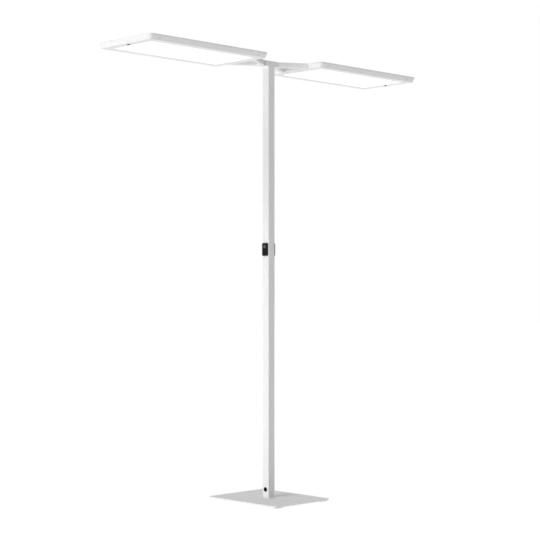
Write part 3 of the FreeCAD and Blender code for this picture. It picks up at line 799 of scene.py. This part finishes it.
def addSensorWindows():
    windows = []
    x = headSizes["sensorX"]
    for y in (-headSizes["windowAcross"], headSizes["windowAcross"]):
        window = addUpright("window", headSizes["windowRadius"], x, y, headBottom,
                            headBottom + sensorSizes["flangeTop"], 40)
        roundEdges(window, lambda edge: liesAt(edge, 2, headBottom), headSizes["windowEdge"], 2)
        shadeFlats(window)
        windows.append(window)
    dressPair(joinAll(windows), "SensorWindows", "sensor_grey", "head", "sensor_windows")


# Wings: a flat flared bracket with a soft-cornered pocket underneath and two hinge knuckles

wingSizes = {
    "start": 0.0451, "end": 0.17, "nearHalfWidth": 0.019, "farHalfWidth": 0.092,
    "top": 0.003, "rim": 0.017, "flange": 0.0035,
    "pocketCorner": 0.006, "pocketFillet": 0.01, "softEdge": 0.0007, "pocketEdge": 0.0008,
    "pinX": 0.0395, "pinY": 0.014, "pinRadius": 0.0025, "pinEdge": 0.0004, "pinSunk": 0.0005,
    "knuckleRadius": 0.0043, "knuckleEdge": 0.0002, "knuckleFlat": 0.00002,
    "knuckleGap": 0.0004, "middleHeight": 0.008, "bushGap": 0.0006, "bushSeat": 0.00315,
    "edgeReach": 0.004, "webEnd": 0.0457,
    "cableRadius": 0.003, "cableY": -0.008, "cableStart": 0.02, "cableEnd": 0.066,
    "screwHeight": 0.011, "screwSpacing": 0.03, "screwCount": 4,
}
wingScrew = {"headRadius": 0.0042, "headDepth": 0.005, "neckRadius": 0.0042, "shankRadius": 0.0025,
             "length": 0.021, "socketRadius": 0.0023, "socketDepth": 0.0028,
             "holeRadius": 0.0026, "holeReach": 0.02}


def wingScrewPlaces():
    x = headSizes["innerEnd"] - wingSizes["flange"]
    middle = (wingSizes["screwCount"] - 1) / 2
    return [Vector((x, (index - middle) * wingSizes["screwSpacing"],
                    headBottom + wingSizes["screwHeight"]))
            for index in range(wingSizes["screwCount"])]


# A block whose far end is wider than its near end
def addFlare(name, startX, endX, nearHalf, farHalf, bottom, top):
    flare = addBlock(name, (startX, -nearHalf, bottom), (endX, nearHalf, top))
    editSelected(flare, "FACE", lambda face: liesAt(face, 0, endX))
    bpy.ops.transform.resize(value=(1, farHalf / nearHalf, 1))
    closeEdit()
    return flare


def wingHalfWidth(x):
    widening = wingSizes["farHalfWidth"] - wingSizes["nearHalfWidth"]
    slope = widening / (wingSizes["end"] - wingSizes["start"])
    return wingSizes["nearHalfWidth"] + slope * (x - wingSizes["start"])


def addWingPocket():
    startX = wingSizes["start"] + wingSizes["rim"]
    endX = headSizes["innerEnd"] - wingSizes["flange"]
    angle = math.atan2(wingHalfWidth(endX) - wingHalfWidth(startX), endX - startX)
    sideways = wingSizes["rim"] / math.cos(angle)
    ceiling = headTop - wingSizes["top"]
    pocket = addFlare("pocket", startX, endX, wingHalfWidth(startX) - sideways,
                      wingHalfWidth(endX) - sideways, headBottom - cutPast, ceiling)
    roundEdges(pocket, lambda edge: runsAlong(edge, 2), wingSizes["pocketCorner"], 6)
    roundEdges(pocket, lambda edge: liesAt(edge, 2, ceiling), wingSizes["pocketFillet"], 5)
    return pocket


# The bottom and top of the connector's knuckle, which turns between the two of a wing
def middleKnuckleSpan():
    low = (headBottom + headTop - wingSizes["middleHeight"]) / 2
    return low, low + wingSizes["middleHeight"]


# Whether an edge is on the pocket's mouth, inside the wing's own outline
def isPocketMouth(edge):
    startX = wingSizes["start"] + wingSizes["rim"] - nearby
    endX = headSizes["innerEnd"] - wingSizes["flange"] + nearby
    return liesAt(edge, 2, headBottom) and all(
        startX < end.co.x < endX and
        abs(end.co.y) < wingHalfWidth(end.co.x) - 0.5 * wingSizes["rim"] for end in edge.verts)


# A wing's upper or lower knuckle, with the seat for its bush
def addWingKnuckle(low, high):
    pinX = wingSizes["pinX"]
    pinY = wingSizes["pinY"]
    knuckle = wingSizes["knuckleRadius"]
    nose = addNose("knuckle", (pinX - knuckle, pinY - knuckle, low),
                   (wingSizes["webEnd"], pinY + knuckle, high),
                   lambda place: place.x < pinX, knuckle - wingSizes["knuckleFlat"])
    combine(nose, addUpright("bushSeat", wingSizes["bushSeat"], pinX, pinY,
                             headBottom - cutPast, headTop + cutPast))
    roundEdges(nose, lambda edge: (liesAt(edge, 2, low) or liesAt(edge, 2, high)) and
               all(end.co.x < pinX + wingSizes["edgeReach"] for end in edge.verts),
               wingSizes["knuckleEdge"], 2)
    return nose


def addWing():
    wing = addFlare("wing", wingSizes["start"], wingSizes["end"], wingSizes["nearHalfWidth"],
                    wingSizes["farHalfWidth"], headBottom, headTop)
    combine(wing, addHeadForm("headEnd", 0, headBottom - nearby, headTop + nearby))
    softenEdges(wing, wingSizes["softEdge"], 3)
    combine(wing, addWingPocket())
    roundEdges(wing, isPocketMouth, wingSizes["pocketEdge"], 3)
    middleBottom, middleTop = middleKnuckleSpan()
    gap = wingSizes["bushGap"]
    for low, high in ((middleTop + gap, headTop), (headBottom, middleBottom - gap)):
        combine(wing, addWingKnuckle(low, high), "UNION")
    middle = (headBottom + headTop) / 2
    combine(wing, addRod("cableBore", wingSizes["cableRadius"],
                         (wingSizes["cableStart"], wingSizes["cableY"], middle),
                         (wingSizes["cableEnd"], wingSizes["cableY"], middle), 40))
    for place in wingScrewPlaces():
        combine(wing, addRod("screwHole", wingScrew["holeRadius"], place - Vector((overlap, 0, 0)),
                             place + Vector((wingScrew["holeReach"], 0, 0)), 24))
    closeCracks(wing)
    shadeFlats(wing)
    dressPair(wing, "WingBracket", "white_aluminium", "head", "wing_bracket")


def addWingScrews():
    faces = [place - Vector((wingScrew["headDepth"], 0, 0)) for place in wingScrewPlaces()]
    screws = [addScrew("wingScrew", face, (1, 0, 0), wingScrew) for face in faces]
    dressPair(joinAll(screws), "WingScrews", "white_screw", "head", "wing_screws")


addWing()
addWingScrews()
addHeadPieces()
addDiffuser()
addCapScrews()
addSensorLens()
addSensorWindows()
print("heads and wings are modelled")


# Connector on top of the column, notched for the hinges, with its cover plate

connectorSizes = {
    "halfLength": 0.0445, "halfWidth": 0.019, "seam": 0.0006,
    "coverHalfLength": 0.03, "coverHalfWidth": 0.0168, "coverThickness": 0.0025, "coverGap": 0.00015,
    "pocketHalfLength": 0.023, "pocketHalfWidth": 0.015, "floor": 0.004,
    "spigotHalf": 0.0163, "spigotLength": 0.06, "spigotWall": 0.004, "boreGap": 0.00002,
    "softEdge": 0.0007, "coverEdge": 0.0003, "screwX": 0.0265, "spaceEndX": 0.06, "spaceEndY": 0.03,
}
coverScrew = {"headRadius": 0.0028, "headDepth": 0.0015, "neckRadius": 0.0015, "shankRadius": 0.0015,
              "length": 0.007, "socketRadius": 0.0011, "socketDepth": 0.001,
              "seatRadius": 0.0029, "seatDepth": 0.0017}


# The hinge space at one end of the connector. A side of -1 gives the opposite corner.
def cutHingeSpace(body, side):
    reach = wingSizes["knuckleRadius"] + wingSizes["knuckleGap"]
    nearX = side * (wingSizes["pinX"] - reach)
    nearY = side * (wingSizes["pinY"] - reach)
    farX = side * connectorSizes["spaceEndX"]
    farY = side * connectorSizes["spaceEndY"]
    low = (min(nearX, farX), min(nearY, farY), headBottom - cutPast)
    high = (max(nearX, farX), max(nearY, farY), headTop + cutPast)
    combine(body, addNose("space", low, high,
                          lambda place: max(abs(place.x - nearX), abs(place.y - nearY)) < overlap,
                          reach))


def addMiddleKnuckle(body, side):
    low, high = middleKnuckleSpan()
    pinX = side * wingSizes["pinX"]
    pinY = side * wingSizes["pinY"]
    knuckle = wingSizes["knuckleRadius"]
    root = side * (wingSizes["pinY"] - knuckle - wingSizes["knuckleGap"] - connectorSizes["seam"])
    end = pinY + side * knuckle
    nose = addNose("knuckle", (pinX - knuckle, min(root, end), low), (pinX + knuckle, max(root, end), high),
                   lambda place: abs(place.y - end) < overlap, knuckle - wingSizes["knuckleFlat"])
    combine(nose, addUpright("bore", wingSizes["pinRadius"] + connectorSizes["boreGap"], pinX, pinY,
                             low - overlap, high + overlap, 40))
    combine(body, nose, "UNION")


# A block centred on the column's axis
def addCentred(name, halfX, halfY, bottom, top):
    return addBlock(name, (-halfX, -halfY, bottom), (halfX, halfY, top))


def addConnector():
    body = addCentred("connectorBody", connectorSizes["halfLength"], connectorSizes["halfWidth"],
                      headBottom, headTop)
    for side in (-1, 1):
        cutHingeSpace(body, side)
    softenEdges(body, connectorSizes["softEdge"])
    for side in (-1, 1):
        addMiddleKnuckle(body, side)
    seatX = connectorSizes["coverHalfLength"]
    seatY = connectorSizes["coverHalfWidth"]
    coverBottom = headTop - connectorSizes["coverThickness"]
    combine(body, addCentred("coverSeat", seatX, seatY, coverBottom, headTop + cutPast))
    combine(body, addCentred("pocket", connectorSizes["pocketHalfLength"], connectorSizes["pocketHalfWidth"],
                             headBottom + connectorSizes["floor"], headTop - overlap))
    spigot = connectorSizes["spigotHalf"]
    spigotEnd = headBottom - connectorSizes["spigotLength"]
    combine(body, addCentred("spigot", spigot, spigot, spigotEnd, headBottom + overlap), "UNION")
    bore = spigot - connectorSizes["spigotWall"]
    combine(body, addCentred("shaft", bore, bore, spigotEnd - cutPast, headBottom + cutPast))
    shadeFlats(body)
    dress(body, "white_aluminium", "stand", "connector_body")
    gap = connectorSizes["coverGap"]
    cover = addCentred("connectorCover", seatX - gap, seatY - gap, coverBottom, headTop)
    for x in (-connectorSizes["screwX"], connectorSizes["screwX"]):
        combine(cover, addUpright("screwSeat", coverScrew["seatRadius"], x, 0,
                                  headTop - coverScrew["seatDepth"], headTop + cutPast, 40))
    softenEdges(cover, connectorSizes["coverEdge"])
    dress(cover, "white_aluminium", "stand", "connector_cover")
    screws = [addScrew("coverScrew", (side * connectorSizes["screwX"], 0, headTop), (0, 0, -1), coverScrew)
              for side in (-1, 1)]
    joinAll(screws)
    screws[0].name = "connectorCoverScrews"
    dress(screws[0], "screw_steel", "stand", "connector_cover_screws")


def addHingePin():
    x = wingSizes["pinX"]
    y = wingSizes["pinY"]
    pin = addUpright("pin", wingSizes["pinRadius"], x, y, headBottom + wingSizes["pinSunk"],
                     headTop - wingSizes["pinSunk"], 48)
    roundEdges(pin, lambda edge: not runsAlong(edge, 2), wingSizes["pinEdge"], 2)
    shadeFlats(pin)
    dressPair(pin, "HingePin", "screw_steel", "stand", "hinge_pin")


addConnector()
addHingePin()
print("connector and hinges are modelled")


# Column, base plate and feet

columnSizes = {"half": 0.019, "wall": 0.0025, "bottom": 0.0105, "cornerRadius": 0.0016, "softEdge": 0.0002,
               "holeReach": 0.005, "inletGap": 0.00005}
grubScrew = {"radius": 0.003, "depth": 0.0064, "recess": 0.0003, "fromEnd": 0.012, "gap": 0.00015,
             "socketRadius": 0.0017, "socketDepth": 0.003}
baseSizes = {"halfX": 0.17, "halfY": 0.2135, "bottom": 0.0025, "top": 0.0105, "cornerRadius": 0.01,
             "topEdge": 0.0006, "underEdge": 0.0064, "softEdge": 0.0003,
             "footSide": 0.048, "footCorner": 0.008, "footInset": 0.007, "footEdge": 0.0006,
             "screwSpacing": 0.018, "screwGap": 0.0001}
baseScrew = {"headRadius": 0.0058, "headDepth": 0.0032, "neckRadius": 0.003, "shankRadius": 0.003,
             "length": 0.024, "socketRadius": 0.0023, "socketDepth": 0.0022}


def addColumn():
    half = columnSizes["half"]
    inner = half - columnSizes["wall"]
    bottom = columnSizes["bottom"]
    top = headBottom
    tube = addCentred("columnTube", half, half, bottom, top)
    roundEdges(tube, lambda edge: runsAlong(edge, 2), columnSizes["cornerRadius"], 6)
    combine(tube, addCentred("bore", inner, inner, bottom - cutPast, top + cutPast))
    hole = grubScrew["radius"] + grubScrew["gap"]
    start = inner - columnSizes["holeReach"]
    end = half + columnSizes["holeReach"]
    for height in (bottom + grubScrew["fromEnd"], top - grubScrew["fromEnd"]):
        combine(tube, addRod("grubHole", hole, (start, 0, height), (end, 0, height), 40))
        combine(tube, addRod("grubHole", hole, (0, start, height), (0, end, height), 40))
    height = inletSizes["height"]
    combine(tube, addRod("inletHole", inletSizes["bodyRadius"] + columnSizes["inletGap"],
                         (-end, 0, height), (-start, 0, height)))
    softenEdges(tube, columnSizes["softEdge"])
    dress(tube, "white_aluminium", "stand", "column")


def addGrubScrews(name, height, node):
    screws = []
    for away in (Vector((1, 0, 0)), Vector((0, 1, 0))):
        start = away * (columnSizes["half"] - grubScrew["recess"]) + Vector((0, 0, height))
        screw = addRod(name, grubScrew["radius"], start, start - away * grubScrew["depth"], 40)
        combine(screw, addRod("socket", grubScrew["socketRadius"], start + away * overlap,
                              start - away * grubScrew["socketDepth"], 6))
        softenEdges(screw, columnSizes["softEdge"])
        screws.append(screw)
    dress(joinAll(screws), "screw_steel", "stand", node)


def addBasePlate():
    bottom = baseSizes["bottom"]
    top = baseSizes["top"]
    plate = addCentred("basePlate", baseSizes["halfX"], baseSizes["halfY"], bottom, top)
    roundEdges(plate, lambda edge: runsAlong(edge, 2), baseSizes["cornerRadius"], 12)
    roundEdges(plate, lambda edge: liesAt(edge, 2, top), baseSizes["topEdge"], 3)
    roundEdges(plate, lambda edge: liesAt(edge, 2, bottom), baseSizes["underEdge"], 1)
    for place in baseScrewPlaces():
        deep = place + Vector((0, 0, baseScrew["headDepth"]))
        combine(plate, addRod("countersink", baseScrew["headRadius"] + baseSizes["screwGap"], place, deep, 48,
                              baseScrew["neckRadius"] + baseSizes["screwGap"]))
    softenEdges(plate, baseSizes["softEdge"])
    dress(plate, "white_steel", "stand", "base_plate")


def baseScrewPlaces():
    half = baseSizes["screwSpacing"] / 2
    return [Vector((x, y, baseSizes["bottom"])) for x in (-half, half) for y in (-half, half)]


def addBaseScrews():
    screws = [addScrew("baseScrews", place, (0, 0, 1), baseScrew) for place in baseScrewPlaces()]
    dress(joinAll(screws), "screw_steel", "stand", "base_screws")


def addFeet():
    side = baseSizes["footSide"]
    farX = baseSizes["halfX"] - baseSizes["footInset"]
    farY = baseSizes["halfY"] - baseSizes["footInset"]
    foot = addBlock("baseFeet", (farX - side, farY - side, 0), (farX, farY, baseSizes["bottom"]))
    roundEdges(foot, lambda edge: runsAlong(edge, 2), baseSizes["footCorner"], 8)
    roundEdges(foot, lambda edge: liesAt(edge, 2, 0), baseSizes["footEdge"], 3)
    shadeFlats(foot)
    acrossX = side - 2 * farX
    acrossY = side - 2 * farY
    repeatAt(foot, [(acrossX, 0, 0), (0, acrossY, 0), (acrossX, acrossY, 0)])
    dress(foot, "foot_rubber", "stand", "base_feet")


# Cable inlet low on the column: a flanged round socket with three contacts

inletSizes = {"height": 0.0472, "flangeRadius": 0.00975, "flangeDepth": 0.0026, "chamfer": 0.0007,
              "bodyRadius": 0.008, "bodyDepth": 0.018, "recessRadius": 0.0065, "recessDepth": 0.013,
              "contactRadius": 0.0009, "contactLength": 0.006, "contactRoot": 0.004,
              "contactCircle": 0.0032, "contactEdge": 0.0006, "contactCount": 3, "softEdge": 0.0003}


def addInlet():
    height = inletSizes["height"]
    back = -columnSizes["half"]
    front = back - inletSizes["flangeDepth"]
    chamfer = inletSizes["chamfer"]
    socket = addRod("inletSocket", inletSizes["flangeRadius"],
                    (back, 0, height), (front + chamfer, 0, height))
    editSelected(socket, "FACE", lambda face: liesAt(face, 0, front + chamfer))
    bpy.ops.mesh.inset(thickness=chamfer, depth=chamfer)
    closeEdit()
    combine(socket, addRod("body", inletSizes["bodyRadius"], (back - overlap, 0, height),
                           (back + inletSizes["bodyDepth"], 0, height)), "UNION")
    floorX = front + inletSizes["recessDepth"]
    combine(socket, addRod("recess", inletSizes["recessRadius"], (front - cutPast, 0, height),
                           (floorX, 0, height)))
    softenEdges(socket, inletSizes["softEdge"])
    dress(socket, "black_plastic", "stand", "inlet_socket")
    contacts = []
    for index in range(inletSizes["contactCount"]):
        angle = 2 * math.pi * index / inletSizes["contactCount"]
        y = inletSizes["contactCircle"] * math.sin(angle)
        z = height + inletSizes["contactCircle"] * math.cos(angle)
        tip = floorX - inletSizes["contactLength"]
        contact = addRod("inletContacts", inletSizes["contactRadius"], (tip, y, z),
                         (floorX + inletSizes["contactRoot"], y, z), 24)
        roundEdges(contact, lambda edge: liesAt(edge, 0, tip), inletSizes["contactEdge"], 3)
        shadeFlats(contact)
        contacts.append(contact)
    dress(joinAll(contacts), "contact_brass", "stand", "inlet_contacts")


addColumn()
addGrubScrews("columnFootGrubs", columnSizes["bottom"] + grubScrew["fromEnd"], "column_foot_grub_screws")
addGrubScrews("columnTopGrubs", headBottom - grubScrew["fromEnd"], "column_top_grub_screws")
addBasePlate()
addBaseScrews()
addFeet()
addInlet()
print("column, base and inlet are modelled")


# Control units at hand height, one on each side of the column

controlSizes = {
    "height": 1.11, "halfWidth": 0.0165, "halfLength": 0.0285, "depth": 0.0064,
    "cornerRadius": 0.0058, "edgeRadius": 0.0009, "softEdge": 0.00025, "wall": 0.0016,
    "buttonUp": 0.0125, "buttonRadius": 0.0075, "buttonGap": 0.00012, "buttonRise": 0.0008,
    "buttonEdge": 0.0004,
    "dishRadius": 0.006, "dishDepth": 0.0005, "dishSteps": 5,
    "flangeRadius": 0.0083, "flangeThickness": 0.0006, "flangeGap": 0.0001,
}


def addControlHousing():
    back = columnSizes["half"]
    front = back + controlSizes["depth"]
    middle = controlSizes["height"]
    halfWidth = controlSizes["halfWidth"]
    halfLength = controlSizes["halfLength"]
    wall = controlSizes["wall"]
    housing = addBlock("housing", (back, -halfWidth, middle - halfLength),
                       (front, halfWidth, middle + halfLength))
    roundEdges(housing, lambda edge: runsAlong(edge, 0), controlSizes["cornerRadius"], 8)
    roundEdges(housing, lambda edge: liesAt(edge, 0, front), controlSizes["edgeRadius"], 5)
    hollow = addBlock("hollow", (back - cutPast, -halfWidth + wall, middle - halfLength + wall),
                      (front - wall, halfWidth - wall, middle + halfLength - wall))
    roundEdges(hollow, lambda edge: runsAlong(edge, 0), controlSizes["cornerRadius"] - wall, 6)
    combine(housing, hollow)
    buttonZ = middle + controlSizes["buttonUp"]
    combine(housing, addRod("buttonHole", controlSizes["buttonRadius"] + controlSizes["buttonGap"],
                            (back, 0, buttonZ), (front + cutPast, 0, buttonZ)))
    softenEdges(housing, controlSizes["softEdge"])
    dressPair(housing, "ControlHousing", "black_plastic", "stand", "control_housing")


def addControlButton():
    front = columnSizes["half"] + controlSizes["depth"] + controlSizes["buttonRise"]
    shelf = columnSizes["half"] + controlSizes["depth"] - controlSizes["wall"] - controlSizes["flangeGap"]
    back = shelf - controlSizes["flangeThickness"]
    z = controlSizes["height"] + controlSizes["buttonUp"]
    radius = controlSizes["buttonRadius"]
    button = addRod("button", radius, (back, 0, z), (front, 0, z), 72)
    editSelected(button, "FACE", lambda face: liesAt(face, 0, front))
    bpy.ops.mesh.inset(thickness=radius - controlSizes["dishRadius"])
    insetArc(controlSizes["dishRadius"], -controlSizes["dishDepth"], controlSizes["dishSteps"])
    closeEdit()
    roundEdges(button, lambda edge: liesAt(edge, 0, front) and
               all(math.hypot(end.co.y, end.co.z - z) > radius - nearby for end in edge.verts),
               controlSizes["buttonEdge"], 3)
    combine(button, addRod("flange", controlSizes["flangeRadius"], (back, 0, z), (shelf, 0, z)), "UNION")
    shadeFlats(button)
    dressPair(button, "ControlButton", "button_grey", "button", "control_button")


addControlHousing()
addControlButton()
print("control units are modelled")
